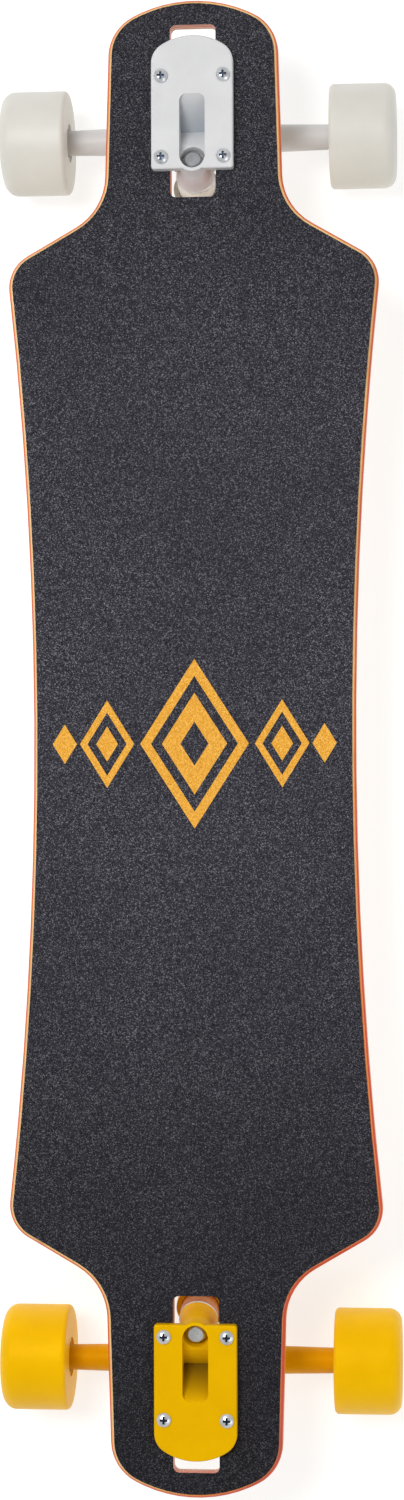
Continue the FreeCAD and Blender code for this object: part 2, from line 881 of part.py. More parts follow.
def truck_pieces():
    """Pieces of the front truck, apart from what turns with its wheels."""
    return {
        "baseplate": make_baseplate(),
        "pivot_cup": make_pivot_cup(),
        "kingpin": make_kingpin(),
        "kingpin_nut": make_kingpin_nut(),
        "boardside_washer": make_boardside_washer(),
        "boardside_bushing": make_boardside_bushing(),
        "roadside_bushing": make_roadside_bushing(),
        "roadside_washer": make_roadside_washer(),
        "mounting_screws": make_mounting_screws(),
        "mounting_nuts": make_mounting_nuts(),
        "hanger": make_hanger(),
        "axle": make_axle(),
        "axle_nuts": make_axle_nuts(),
        "speed_washers": make_speed_washers(),
        "bearing_spacers": make_bearing_spacers(),
        "bearing_inner_rings": Part.makeCompound(both_ends(right_bearings([inner_ring()]))),
    }


def main():
    nodes = {"deck": make_deck(), "grip_tape": make_grip_tape()}
    for name, shape in truck_pieces().items():
        nodes["front_" + name] = shape
        nodes["rear_" + name] = half_turn(shape, 0, 0)
    for name, shapes in wheel_pieces().items():
        right = Part.makeCompound(shapes)
        left = half_turn(right, 0, axle_y)
        nodes["front_right_" + name] = right
        nodes["front_left_" + name] = left
        nodes["rear_left_" + name] = half_turn(right, 0, 0)
        nodes["rear_right_" + name] = half_turn(left, 0, 0)
    os.makedirs("parts", exist_ok=True)
    for name, shape in nodes.items():
        shape.exportStep("parts/" + name + ".step")
    print("steering axis through", pivot_point, "along", steer_direction)


main()
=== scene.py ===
import bmesh
import bpy
import math
from mathutils import Matrix, Vector


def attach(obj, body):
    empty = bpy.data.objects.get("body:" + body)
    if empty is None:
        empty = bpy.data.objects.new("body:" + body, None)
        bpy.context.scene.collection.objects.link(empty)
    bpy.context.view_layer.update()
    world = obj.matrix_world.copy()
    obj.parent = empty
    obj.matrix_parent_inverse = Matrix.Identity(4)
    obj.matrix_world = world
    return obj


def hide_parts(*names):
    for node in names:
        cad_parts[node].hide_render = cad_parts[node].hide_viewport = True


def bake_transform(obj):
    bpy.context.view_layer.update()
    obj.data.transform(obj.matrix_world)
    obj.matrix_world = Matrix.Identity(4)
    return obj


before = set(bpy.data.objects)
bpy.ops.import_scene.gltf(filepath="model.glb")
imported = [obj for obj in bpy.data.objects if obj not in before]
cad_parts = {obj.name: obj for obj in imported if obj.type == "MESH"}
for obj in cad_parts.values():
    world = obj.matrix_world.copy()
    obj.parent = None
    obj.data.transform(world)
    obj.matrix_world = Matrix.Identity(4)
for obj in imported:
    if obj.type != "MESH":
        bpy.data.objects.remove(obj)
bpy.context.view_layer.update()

# Sizes in metres, the same as the solids' own; a bushing's two values are its ends along the kingpin
deck_top_z = 0.0847
deck_thickness = 0.011
concave_flat_half = 0.035
concave_radius = 0.700
truck_y = 0.4155
flange_top_z = 0.092
hollow_half_width = 0.0085
hollow_depth = 0.0145
hollow_deepest_y = 0.408
bolt_spacing_x = 0.0413
bolt_spacing_y = 0.05398
screw_radius = 0.0024
screw_head_height = 0.0029
screw_recess_span = 0.005
mount_nut_z = 0.0687
axle_y = 0.413
axle_z = 0.035
axle_radius = 0.004
axle_nut_end_x = 0.1225
kingpin_top_y = 0.388
kingpin_top_z = 0.0865
kingpin_tilt = math.radians(20)
kingpin_radius = 0.00475
kingpin_nut_end = 0.065
boardside_bushing = (0.022, 0.0365)
roadside_bushing = (0.0425, 0.054)
bushing_bore = 0.00505

# Shapes of the pieces that are made here, with lengths in metres; a collar has a radius and a height
deck_edge_round = 0.0030
deck_edge_steps = 6
bushing_radius = 0.0123
bushing_end_radius = 0.0100
bushing_corner = 0.0008
boardside_crown = 0.00045
roadside_crown = 0.0003
kingpin_collar = (0.0066, 0.0011)
axle_collar = (0.0059, 0.001)
mount_collar = (0.0036, 0.0008)
thread_clearance = 0.00005
insert_share = 0.8
corner_steps = 5
bushing_sides = 64
collar_sides = 40
sharp_angle = math.radians(32)

# The deck's top edge lies between a level face and a steep one, told by the upward part of their normals
weld_distance = 1e-6
level_rise = 0.8
steep_rise = 0.35

# The deck's rim shows deeper, redder plies towards the right of the tail, shifted by up to a share of the
# deck's thickness
rim_ply_shift_half_width = 0.05
rim_ply_shift_start_y = 0.05
rim_ply_shift_full_y = -0.36
rim_ply_shift_share = 0.06

# Painted shade on the grip tape: it is darker towards the tail and the nose, and a little paler between the
# trucks
painted_light_middle_share = 1.06
painted_shade_nose_share = 0.80
painted_shade_tail_share = 0.45
painted_shade_nose_y = 0.36
painted_light_nose_y = 0.22
painted_light_tail_y = -0.08
painted_shade_tail_y = -0.45

# Painted shade in a baseplate's hollow: the paint is darker in its depth, less so on the slope at the kingpin
hollow_margin = 1.02
inner_slope_length = 0.008
inner_slope_share = 0.5

# Painted shade in a screw's recess: the steel is darker there, which is told by its reach and the height of
# its lip
recess_margin = 1.1
recess_lip_share = 0.72

# Fine lines that turning leaves on a wheel's faces and tread, in radians for each metre
ring_pitch = 9000.0
tread_pitch = 7000.0

# The design in the middle of the grip tape: a row of diamonds across the board
design_rows = [
    {"centre": 0.0, "half_width": 0.036, "half_length": 0.056, "bands": [(0.80, 1.0), (0.26, 0.60)]},
    {"centre": 0.058, "half_width": 0.018, "half_length": 0.029, "bands": [(0.72, 1.0), (-1.0, 0.40)]},
    {"centre": 0.086, "half_width": 0.008, "half_length": 0.013, "bands": [(-1.0, 1.0)]},
]

# Camera, high over the board and a little to its right
camera_place = Vector((0.172, -0.055, 1.9355))
aim_place = Vector((0.005, -0.0042, 0.0855))
frame_height_at_aim = 0.9895
sensor_size = 36.0
camera_roll = -0.0028

# Studio: a bright ring of sky with a darker top, a high key light from the left and a weak fill
sky_strength = 0.66
sky_top_share = 0.4
sky_ring_top = 0.72
sky_dark_from = 0.94
key_place = (-0.8, 0.6, 2.45)
key_size = 1.2
key_power = 37.0
fill_place = (1.6, -1.2, 1.8)
fill_size = 1.6
fill_power = 8.0
floor_size = 12.0
floor_glow = 0.65
floor_albedo = 0.5


def colour(red, green, blue):
    """Linear colour from the 0 to 255 values of a screen colour."""
    linear = []
    for value in (red, green, blue):
        share = value / 255
        linear.append(share / 12.92 if share <= 0.04045 else ((share + 0.055) / 1.055) ** 2.4)
    return (*linear, 1.0)


def grey(value):
    return (value, value, value, 1.0)


class Look:
    """A material with one shader, and short calls for the nodes that feed it."""

    def __init__(self, name, settings):
        self.material = bpy.data.materials.new(name)
        self.material.use_nodes = True
        self.tree = self.material.node_tree
        self.shader = self.tree.nodes["Principled BSDF"]
        for socket, value in settings.items():
            self.shader.inputs[socket].default_value = value
        self.place = self.add("ShaderNodeTexCoord").outputs["Object"]

    def add(self, kind, **settings):
        node = self.tree.nodes.new(kind)
        for name, value in settings.items():
            setattr(node, name, value)
        return node

    def feed(self, socket, value):
        if isinstance(value, bpy.types.NodeSocket):
            self.tree.links.new(value, socket)
        else:
            socket.default_value = value

    def drive(self, socket, value):
        """Feeds one of the shader's own sockets."""
        self.feed(self.shader.inputs[socket], value)

    def calc(self, operation, first, second=0.0):
        node = self.add("ShaderNodeMath", operation=operation)
        self.feed(node.inputs[0], first)
        self.feed(node.inputs[1], second)
        return node.outputs[0]

    def plus(self, first, second):
        return self.calc("ADD", first, second)

    def minus(self, first, second):
        return self.calc("SUBTRACT", first, second)

    def times(self, first, second):
        return self.calc("MULTIPLY", first, second)

    def over(self, first, second):
        return self.calc("DIVIDE", first, second)

    def unsigned(self, value):
        return self.calc("ABSOLUTE", value)

    def below(self, value, limit):
        return self.calc("LESS_THAN", value, limit)

    def above(self, value, limit):
        return self.calc("GREATER_THAN", value, limit)

    def larger(self, first, second):
        return self.calc("MAXIMUM", first, second)

    def axes(self):
        node = self.add("ShaderNodeSeparateXYZ")
        self.feed(node.inputs[0], self.place)
        return node.outputs

    def noise(self, scale, detail=2.0, rough=0.5, stretch=(1, 1, 1)):
        mapping = self.add("ShaderNodeMapping")
        self.feed(mapping.inputs["Vector"], self.place)
        mapping.inputs["Scale"].default_value = stretch
        node = self.add("ShaderNodeTexNoise")
        self.feed(node.inputs["Vector"], mapping.outputs[0])
        node.inputs["Scale"].default_value = scale
        node.inputs["Detail"].default_value = detail
        node.inputs["Roughness"].default_value = rough
        return node.outputs["Fac"]

    def cells(self, scale):
        node = self.add("ShaderNodeTexVoronoi")
        self.feed(node.inputs["Vector"], self.place)
        node.inputs["Scale"].default_value = scale
        return node.outputs

    def parts(self, shade):
        """Red, green and blue of a colour: for cells, three values that differ from one to the next."""
        node = self.add("ShaderNodeSeparateColor")
        self.feed(node.inputs[0], shade)
        return node.outputs

    def ramp(self, value, stops, interpolation="LINEAR"):
        node = self.add("ShaderNodeValToRGB")
        ramp = node.color_ramp
        ramp.interpolation = interpolation
        while len(ramp.elements) < len(stops):
            ramp.elements.new(1.0)
        for element, (position, shade) in zip(ramp.elements, stops):
            element.position = position
            element.color = shade
        self.feed(node.inputs[0], value)
        return node.outputs["Color"]

    def span(self, value, low, high, new_low=0.0, new_high=1.0):
        """A value carried from one range to another, and held at its ends."""
        node = self.add("ShaderNodeMapRange")
        for index, item in enumerate((value, low, high, new_low, new_high)):
            self.feed(node.inputs[index], item)
        return node.outputs[0]

    def mix(self, share, first, second, blend="MIX"):
        """Mix of two colours, which have the sockets 6 and 7 of this node and its output 2."""
        node = self.add("ShaderNodeMix", data_type="RGBA", blend_type=blend)
        self.feed(node.inputs[0], share)
        self.feed(node.inputs[6], first)
        self.feed(node.inputs[7], second)
        return node.outputs[2]

    def bump(self, height, strength, distance):
        node = self.add("ShaderNodeBump")
        node.inputs["Strength"].default_value = strength
        node.inputs["Distance"].default_value = distance
        self.feed(node.inputs["Height"], height)
        self.drive("Normal", node.outputs[0])


def concave_rise(look, x):
    """How far the deck's curved section has risen at x."""
    beyond = look.larger(look.minus(look.unsigned(x), concave_flat_half), 0.0)
    return look.over(look.times(beyond, beyond), 2 * concave_radius)


def diamond_mask(look, x, y):
    """1 inside the bands of the row of diamonds, 0 outside them."""
    from_middle = look.unsigned(x)
    along = look.unsigned(y)
    mask = 0.0
    for row in design_rows:
        across = look.unsigned(look.minus(from_middle, row["centre"]))
        reach = look.plus(look.over(across, row["half_width"]), look.over(along, row["half_length"]))
        for low, high in row["bands"]:
            inside = look.times(look.above(reach, low), look.below(reach, high))
            mask = look.larger(inside, mask)
    return mask


def grip_look():
    """Coarse grit: mostly dark grains, with some painted pale as glints, and ink between them in the design.
    """
    look = Look("grip_tape_grit", {"Roughness": 0.9, "Specular IOR Level": 0.12})
    x, y, _ = look.axes()
    grit = look.cells(1700.0)
    dust = look.cells(2600.0)
    fine = look.noise(2600.0, detail=3.0, rough=0.6)
    broad = look.noise(9.0, detail=3.0, rough=0.55)
    grain_shade, grain_ink, grain_gloss = look.parts(grit["Color"])
    mote_shade = look.parts(dust["Color"])[0]
    # The palest grains and motes are painted glints
    coarse_shade = look.ramp(grain_shade, [
        (0.0, colour(20, 19, 25)),
        (0.45, colour(38, 37, 44)),
        (0.8, colour(66, 65, 72)),
        (1.0, colour(150, 149, 156)),
    ])
    fine_shade = look.ramp(mote_shade, [
        (0.0, colour(20, 19, 25)),
        (0.7, colour(46, 45, 52)),
        (1.0, colour(124, 123, 130)),
    ])
    shade = look.mix(0.4, coarse_shade, fine_shade)
    shade = look.mix(look.span(broad, 0.3, 0.7, 0.0, 0.3), shade, colour(36, 35, 42))
    # Painted shade: the grip is darkened towards its ends and paled a little between the trucks
    tail_painted_shade = look.span(y, painted_shade_tail_y, painted_light_tail_y, painted_shade_tail_share, painted_light_middle_share)
    nose_painted_shade = look.span(y, painted_shade_nose_y, painted_light_nose_y, painted_shade_nose_share, painted_light_middle_share)
    shade = look.mix(1.0, shade, look.calc("MINIMUM", tail_painted_shade, nose_painted_shade), "MULTIPLY")
    ink = look.ramp(grain_ink, [
        (0.0, colour(214, 148, 42)),
        (0.6, colour(240, 172, 60)),
        (1.0, colour(252, 196, 96)),
    ])
    rubbed = look.span(fine, 0.30, 0.42)
    printed = look.times(diamond_mask(look, x, y), rubbed)
    look.drive("Base Color", look.mix(printed, shade, ink))
    look.drive("Roughness", look.span(grain_gloss, 0.0, 1.0, 0.72, 0.98))
    height = look.plus(look.times(grit["Distance"], -0.8), look.times(fine, 0.5))
    look.bump(height, strength=0.7, distance=0.0003)
    return look.material


def deck_look():
    """Coloured plies by their depth below the deck's top, with the grain and pores of maple."""
    look = Look("maple_plies", {"Roughness": 0.42, "Coat Weight": 0.25, "Coat Roughness": 0.2})
    x, y, z = look.axes()
    depth = look.minus(look.plus(concave_rise(look, x), deck_top_z), z)
    # Deeper, redder plies towards the right of the tail
    to_right = look.span(x, -rim_ply_shift_half_width, rim_ply_shift_half_width)
    to_tail = look.span(y, rim_ply_shift_start_y, rim_ply_shift_full_y, 0.0, rim_ply_shift_share)
    share = look.plus(look.over(depth, deck_thickness), look.times(to_right, to_tail))
    tan = colour(240, 202, 142)
    pale = colour(226, 206, 176)
    orange = colour(238, 140, 66)
    red = colour(208, 66, 32)
    ply_colour = look.ramp(share, [
        (0.0, tan),
        (0.034, orange),
        (0.075, red),
        (0.20, orange),
        (0.40, red),
        (0.58, tan),
        (0.72, red),
        (0.86, pale),
    ], "CONSTANT")
    grain = look.noise(70.0, detail=5.0, rough=0.62, stretch=(1.0, 0.045, 1.0))
    pores = look.noise(900.0, detail=3.0, rough=0.6, stretch=(1.0, 0.03, 1.0))
    figure = look.ramp(grain, [
        (0.30, colour(214, 182, 146)),
        (0.5, colour(247, 240, 230)),
        (0.72, grey(1.0)),
    ])
    shade = look.mix(0.8, ply_colour, figure, "MULTIPLY")
    shade = look.mix(look.span(pores, 0.55, 0.72, 0.0, 0.28), shade, colour(120, 66, 34))
    look.drive("Base Color", shade)
    look.drive("Roughness", look.span(grain, 0.3, 0.7, 0.36, 0.55))
    look.bump(look.plus(pores, look.times(grain, 0.5)), strength=0.18, distance=0.0004)
    return look.material


def hollow_shade_mask(look):
    """Share of painted shade: 0 at the lip of a baseplate's hollow and outside it, 1 at its deepest line."""
    x, y, z = look.axes()
    depth = look.minus(flange_top_z, z)
    share = look.span(depth, 0.0, hollow_depth)
    across = look.below(look.unsigned(x), hollow_half_width * hollow_margin)
    from_middle = look.unsigned(y)
    outer_slope = look.above(from_middle, hollow_deepest_y)
    inner_slope = look.span(
        from_middle, hollow_deepest_y - inner_slope_length, hollow_deepest_y, 0.0, inner_slope_share,
    )
    along = look.larger(outer_slope, inner_slope)
    not_under = look.below(depth, hollow_depth * hollow_margin)
    return look.times(share, look.times(look.times(across, along), not_under))


def paint_look(name, base, shaded, gloss, hollow_painted_shade=None):
    """Powder coat on a casting: fine orange peel, a little unevenness in the colour, and, where asked,
    painted shade in the baseplate's hollow.
    """
    look = Look(name, {"Roughness": 0.42, "Specular IOR Level": 0.35, "Specular Tint": gloss})
    peel = look.noise(620.0)
    cast = look.noise(38.0, detail=4.0, rough=0.6)
    specks = look.cells(420.0)
    shade = look.mix(look.span(cast, 0.35, 0.75), base, shaded)
    shade = look.mix(look.span(specks["Distance"], 0.0, 0.10, 0.22, 0.0), shade, shaded)
    if hollow_painted_shade:
        # Painted shade in the baseplate's hollow
        shade = look.mix(hollow_shade_mask(look), shade, hollow_painted_shade)
    look.drive("Base Color", shade)
    look.drive("Roughness", look.span(cast, 0.3, 0.7, 0.36, 0.5))
    look.bump(look.plus(peel, look.times(cast, 0.6)), strength=0.16, distance=0.0005)
    return look.material


def urethane_look(name, base, deep, gloss, sign):
    """Cast urethane wheel: faint swirl, turned rings on the faces and fine lines round the tread."""
    look = Look(name, {
        "Roughness": 0.45,
        "Subsurface Weight": 0.18,
        "Subsurface Scale": 0.004,
        "Subsurface Radius": base[:3],
        "Specular IOR Level": 0.5,
        "Specular Tint": gloss,
    })
    x, y, z = look.axes()
    swirl = look.noise(24.0, detail=4.0, rough=0.55)
    dust = look.noise(700.0, detail=3.0, rough=0.6)
    from_axle_y = look.minus(y, sign * axle_y)
    from_axle_z = look.minus(z, axle_z)
    squares = look.plus(look.times(from_axle_y, from_axle_y), look.times(from_axle_z, from_axle_z))
    rings = look.calc("SINE", look.times(look.calc("SQRT", squares), ring_pitch))
    lines = look.calc("SINE", look.times(x, tread_pitch))
    shade = look.mix(look.span(swirl, 0.35, 0.7), base, deep)
    shade = look.mix(look.span(dust, 0.58, 0.75, 0.0, 0.25), shade, deep)
    look.drive("Base Color", shade)
    look.drive("Roughness", look.span(dust, 0.3, 0.7, 0.38, 0.52))
    turned = look.times(look.plus(rings, lines), 0.22)
    look.bump(look.plus(turned, look.times(dust, 0.6)), strength=0.12, distance=0.0003)
    return look.material


def bushing_look(name, base, deep):
    """Softer cast urethane, which lets more light in."""
    look = Look(name, {
        "Roughness": 0.3,
        "Subsurface Weight": 0.4,
        "Subsurface Scale": 0.006,
        "Subsurface Radius": base[:3],
        "Specular IOR Level": 0.5,
    })
    swirl = look.noise(120.0, detail=4.0, rough=0.6)
    skin = look.noise(1500.0)
    look.drive("Base Color", look.mix(look.span(swirl, 0.3, 0.72), base, deep))
    look.drive("Roughness", look.span(skin, 0.3, 0.7, 0.24, 0.42))
    look.bump(skin, strength=0.1, distance=0.0002)
    return look.material


def recess_shade_mask(look):
    """Share of painted shade: 1 inside the cross recess of a mounting screw's head, 0 elsewhere."""
    x, y, z = look.axes()
    off_x = look.minus(look.unsigned(x), bolt_spacing_x / 2)
    off_y = look.minus(look.unsigned(look.minus(look.unsigned(y), truck_y)), bolt_spacing_y / 2)
    squares = look.plus(look.times(off_x, off_x), look.times(off_y, off_y))
    reach = screw_recess_span / 2 * recess_margin
    lip_z = flange_top_z + screw_head_height * recess_lip_share
    inside = look.below(squares, reach * reach)
    sunk = look.times(look.below(z, lip_z), look.above(z, flange_top_z))
    return look.times(inside, sunk)


def metal_look(name, base, dull, rough, scratch_stretch=(1, 1, 1), with_recess_shade=False):
    """Plated or ground steel: fine drawn scratches, patches where the finish is duller, and, where asked,
    painted shade in a screw's cross recess.
    """
    look = Look(name, {"Metallic": 1.0, "Roughness": rough})
    patches = look.noise(160.0, detail=4.0, rough=0.6)
    scratches = look.noise(1400.0, detail=3.0, rough=0.65, stretch=scratch_stretch)
    shade = look.mix(look.span(patches, 0.38, 0.72), base, dull)
    shade = look.mix(look.span(scratches, 0.55, 0.75, 0.0, 0.35), shade, dull)
    if with_recess_shade:
        # Painted shade in the screw's cross recess
        shade = look.mix(recess_shade_mask(look), shade, colour(52, 60, 74))
    look.drive("Base Color", shade)
    look.drive("Roughness", look.span(scratches, 0.3, 0.7, rough * 0.75, rough * 1.35))
    look.bump(scratches, strength=0.12, distance=0.00015)
    return look.material


def rubber_look():
    look = Look("black_rubber", {"Roughness": 0.6, "Specular IOR Level": 0.35})
    mottle = look.noise(300.0, detail=3.0, rough=0.6)
    skin = look.noise(2200.0)
    look.drive("Base Color", look.mix(look.span(mottle, 0.35, 0.7), colour(24, 24, 26), colour(44, 43, 45)))
    look.drive("Roughness", look.span(skin, 0.3, 0.7, 0.5, 0.72))
    look.bump(skin, strength=0.15, distance=0.0002)
    return look.material


def nylon_look():
    look = Look("lock_nut_nylon", {
        "Roughness": 0.45,
        "Subsurface Weight": 0.2,
        "Subsurface Scale": 0.002,
        "Subsurface Radius": (0.8, 0.8, 0.7),
    })
    cloud = look.noise(350.0, detail=3.0, rough=0.6)
    clear = colour(236, 232, 220)
    clouded = colour(208, 204, 190)
    look.drive("Base Color", look.mix(look.span(cloud, 0.3, 0.7), clear, clouded))
    look.drive("Roughness", look.span(cloud, 0.3, 0.7, 0.38, 0.55))
    look.bump(cloud, strength=0.1, distance=0.0002)
    return look.material


def floor_look():
    look = Look("pale_floor", {
        "Roughness": 0.95,
        "Specular IOR Level": 0.05,
        "Emission Color": grey(1.0),
        "Emission Strength": floor_glow,
    })
    drift = look.noise(1.5)
    duller = grey(floor_albedo * 0.98)
    look.drive("Base Color", look.mix(look.span(drift, 0.3, 0.7), grey(floor_albedo), duller))
    return look.material


def make_looks():
    """Every finish by its name; the first colour of a finish is its own, the second is for its patches."""
    along_axle = (0.02, 1.0, 1.0)
    white_gloss = grey(1.0)
    yellow_gloss = (1.0, 0.62, 0.06, 1.0)
    white = (colour(208, 208, 209), colour(201, 201, 202), white_gloss)
    yellow = (colour(230, 177, 0), colour(221, 167, 0), yellow_gloss)
    # The hanger's yellow is the plate's paint made deeper and more orange: painted shade on the arms
    yellow_with_painted_shade = (colour(228, 160, 0), colour(214, 144, 0), yellow_gloss)
    white_cast = (colour(214, 212, 204), colour(207, 205, 196), white_gloss)
    yellow_cast = (colour(241, 187, 0), colour(233, 178, 0), yellow_gloss)
    zinc = (colour(214, 215, 214), colour(176, 178, 180))
    dull_zinc = (colour(188, 190, 193), colour(160, 162, 166))
    bright_zinc = (colour(228, 231, 233), colour(190, 194, 198))
    ground = (colour(190, 190, 192), colour(150, 150, 154))
    polished = (colour(205, 206, 208), colour(170, 171, 175))
    brass = (colour(200, 160, 88), colour(160, 120, 58))
    return {
        "deck_maple": deck_look(),
        "grip_tape": grip_look(),
        # The plates' dark last colours are painted shade for their hollows
        "white_plate": paint_look("white_plate_coat", *white, hollow_painted_shade=colour(156, 163, 171)),
        "yellow_plate": paint_look("yellow_plate_coat", *yellow, hollow_painted_shade=colour(84, 56, 2)),
        "white_hanger": paint_look("white_hanger_coat", *white),
        "yellow_hanger": paint_look("yellow_hanger_coat", *yellow_with_painted_shade),
        "white_urethane": urethane_look("white_urethane", *white_cast, sign=1),
        "yellow_urethane": urethane_look("yellow_urethane", *yellow_cast, sign=-1),
        "white_bushing": bushing_look("white_bushing", colour(234, 233, 229), colour(222, 220, 214)),
        "amber_bushing": bushing_look("amber_bushing", colour(206, 128, 52), colour(176, 98, 30)),
        "black_rubber": rubber_look(),
        "zinc_steel": metal_look("zinc_plate", *zinc, rough=0.34),
        "dull_steel": metal_look("dull_zinc", *dull_zinc, rough=0.42),
        "screw_steel": metal_look("screw_zinc", *bright_zinc, rough=0.3, with_recess_shade=True),
        "axle_steel": metal_look("ground_steel", *ground, rough=0.28, scratch_stretch=along_axle),
        "bearing_steel": metal_look("polished_steel", *polished, rough=0.18, scratch_stretch=along_axle),
        "cage_brass": metal_look("cage_brass", *brass, rough=0.34),
        "nylon": nylon_look(),
        "floor": floor_look(),
    }


looks = make_looks()


def dress(obj, look):
    obj.data.materials.clear()
    obj.data.materials.append(looks[look])


# Finish of each solid, by the end of its name; what has no entry is zinc plated
finish_by_ending = {
    "grip_tape": "grip_tape",
    "deck": "deck_maple",
    "baseplate": "plate",
    "hanger": "hanger",
    "kingpin": "kingpin",
    "bushing": "bushing",
    "wheel": "urethane",
    "mounting_screws": "screw_steel",
    "pivot_cup": "black_rubber",
    "bearing_shields": "black_rubber",
    "axle": "axle_steel",
    "bearing_spacers": "axle_steel",
    "bearing_inner_rings": "bearing_steel",
    "bearing_outer_rings": "bearing_steel",
    "bearing_balls": "bearing_steel",
    "bearing_cages": "cage_brass",
}

# Finishes that differ between the front and the rear
by_end = {
    "plate": ("white_plate", "yellow_plate"),
    "hanger": ("white_hanger", "yellow_hanger"),
    "kingpin": ("dull_steel", "zinc_steel"),
    "urethane": ("white_urethane", "yellow_urethane"),
    "bushing": ("white_bushing", "amber_bushing"),
}


def finish_of(name):
    chosen = "zinc_steel"
    for ending, finish in finish_by_ending.items():
        if name.endswith(ending):
            chosen = finish
    if chosen in by_end:
        chosen = by_end[chosen][0 if name.startswith("front") else 1]
    return chosen


for node_name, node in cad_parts.items():
    dress(node, finish_of(node_name))


# Pieces that stand for solids, or add to them

def add_piece(name, mesh, look):
    """Object from a finished mesh, smooth but for its sharp edges."""
    bmesh.ops.recalc_face_normals(mesh, faces=mesh.faces)
    data = bpy.data.meshes.new(name)
    mesh.to_mesh(data)
    mesh.free()
    data.polygons.foreach_set("use_smooth", [True] * len(data.polygons))
    data.set_sharp_from_angle(angle=sharp_angle)
    piece = bpy.data.objects.new(name, data)
    bpy.context.scene.collection.objects.link(piece)
    dress(piece, look)
    return piece


def deck_surface_z(x):
    """Height of the deck's curved top at x."""
    beyond = max(0.0, abs(x) - concave_flat_half)
    return deck_top_z + concave_radius - math.sqrt(concave_radius ** 2 - beyond ** 2)


def rim_corners(mesh):
    """Corners of the deck's outer top edge, against the clock, or none if it isn't one closed line."""
    beside = {}
    for edge in mesh.edges:
        rises = [face.normal.z for face in edge.link_faces]
        if len(rises) == 2 and max(rises) > level_rise and min(abs(rise) for rise in rises) < steep_rise:
            first, second = edge.verts
            beside.setdefault(first, []).append(second)
            beside.setdefault(second, []).append(first)
    start = max(beside, key=lambda corner: corner.co.y)
    loop = [start, min(beside[start], key=lambda corner: corner.co.x)]
    while loop[-1] is not start:
        onward = [corner for corner in beside[loop[-1]] if corner is not loop[-2]]
        if not onward or len(loop) > len(beside):
            return []
        loop.append(onward[0])
    return loop[:-1]


def make_deck():
    """The deck with its top edge rounded, so that the plies show round the grip tape."""
    mesh = bmesh.new()
    mesh.from_mesh(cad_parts["deck"].data)
    bmesh.ops.remove_doubles(mesh, verts=mesh.verts, dist=weld_distance)
    mesh.normal_update()
    corners = rim_corners(mesh)
    if not corners:
        mesh.free()
        return
    places = [corner.co.copy() for corner in corners]
    count = len(corners)
    rings = [corners]
    for step in range(1, deck_edge_steps + 1):
        angle = math.pi / 2 * step / deck_edge_steps
        ring = []
        for index, place in enumerate(places):
            along = places[(index + 1) % count] - places[index - 1]
            inward = Vector((-along.y, along.x, 0)).normalized()
            spot = place + inward * deck_edge_round * (1 - math.cos(angle))
            spot.z = deck_surface_z(spot.x) - deck_edge_round * (1 - math.sin(angle))
            ring.append(mesh.verts.new(spot))
        rings.append(ring)
    inner = dict(zip(corners, rings[-1]))
    for face in [face for face in mesh.faces if face.normal.z > level_rise]:
        if any(corner in inner for corner in face.verts):
            mesh.faces.new([inner.get(corner, corner) for corner in face.verts])
            mesh.faces.remove(face)
    for corner in corners:
        corner.co.z -= deck_edge_round
    for lower, upper in zip(rings, rings[1:]):
        for index in range(count):
            after = (index + 1) % count
            mesh.faces.new((lower[index], lower[after], upper[after], upper[index]))
    piece = add_piece("deck_with_rounded_edge", mesh, "deck_maple")
    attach(piece, "board")
    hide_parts("deck")


def turn(mesh, profile, place, axis, sides):
    """Adds a closed profile of (along, radius) points, turned round an axis, to a mesh."""
    across = axis.orthogonal().normalized()
    upward = axis.cross(across)
    rows = []
    for side in range(sides):
        angle = 2 * math.pi * side / sides
        outward = across * math.cos(angle) + upward * math.sin(angle)
        rows.append([mesh.verts.new(place + axis * along + outward * radius) for along, radius in profile])
    for side in range(sides):
        here = rows[side]
        following = rows[(side + 1) % sides]
        for index in range(len(profile)):
            after = (index + 1) % len(profile)
            mesh.faces.new((here[index], here[after], following[after], following[index]))


def crowned_profile(start, end, start_radius, end_radius, crown, corner, bore):
    """Profile of a ring with rounded corners whose outside swells between its ends."""
    quarter = [math.pi / 2 * step / corner_steps for step in range(corner_steps + 1)]
    profile = [(end, bore), (start, bore)]
    for angle in quarter:
        along = start + corner * (1 - math.cos(angle))
        profile.append((along, start_radius - corner * (1 - math.sin(angle))))
    for step in range(1, corner_steps * 2):
        share = step / (corner_steps * 2)
        along = start + corner + (end - start - 2 * corner) * share
        swell = crown * 4 * share * (1 - share)
        profile.append((along, start_radius + (end_radius - start_radius) * share + swell))
    for angle in quarter:
        along = end - corner * (1 - math.sin(angle))
        profile.append((along, end_radius - corner * (1 - math.cos(angle))))
    return profile


def kingpin_line(sign):
    """Top of a truck's kingpin, and the direction down along it."""
    top = Vector((0, sign * kingpin_top_y, kingpin_top_z))
    down = Vector((0, -sign * math.sin(kingpin_tilt), -math.cos(kingpin_tilt)))
    return top, down


def make_bushings(end, sign):
    """Cast bushings that swell a little, squeezed between the baseplate's side and the hanger's."""
    top, down = kingpin_line(sign)
    look = "white_bushing" if end == "front" else "amber_bushing"
    shapes = {
        "boardside": (boardside_bushing, bushing_radius, boardside_crown),
        "roadside": (roadside_bushing, bushing_end_radius, roadside_crown),
    }
    for side, ((first, last), last_radius, crown) in shapes.items():
        profile = crowned_profile(
            first, last, bushing_radius, last_radius, crown, bushing_corner, bushing_bore,
        )
        mesh = bmesh.new()
        turn(mesh, profile, top, down, bushing_sides)
        piece = add_piece(f"{end}_{side}_bushing_cast", mesh, look)
        margin = (last - first) / 8
        fixed_end, moving_end = (first + margin, last - margin)
        if side == "roadside":
            fixed_end, moving_end = moving_end, fixed_end
        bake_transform(piece)
        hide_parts(f"{end}_{side}_bushing")


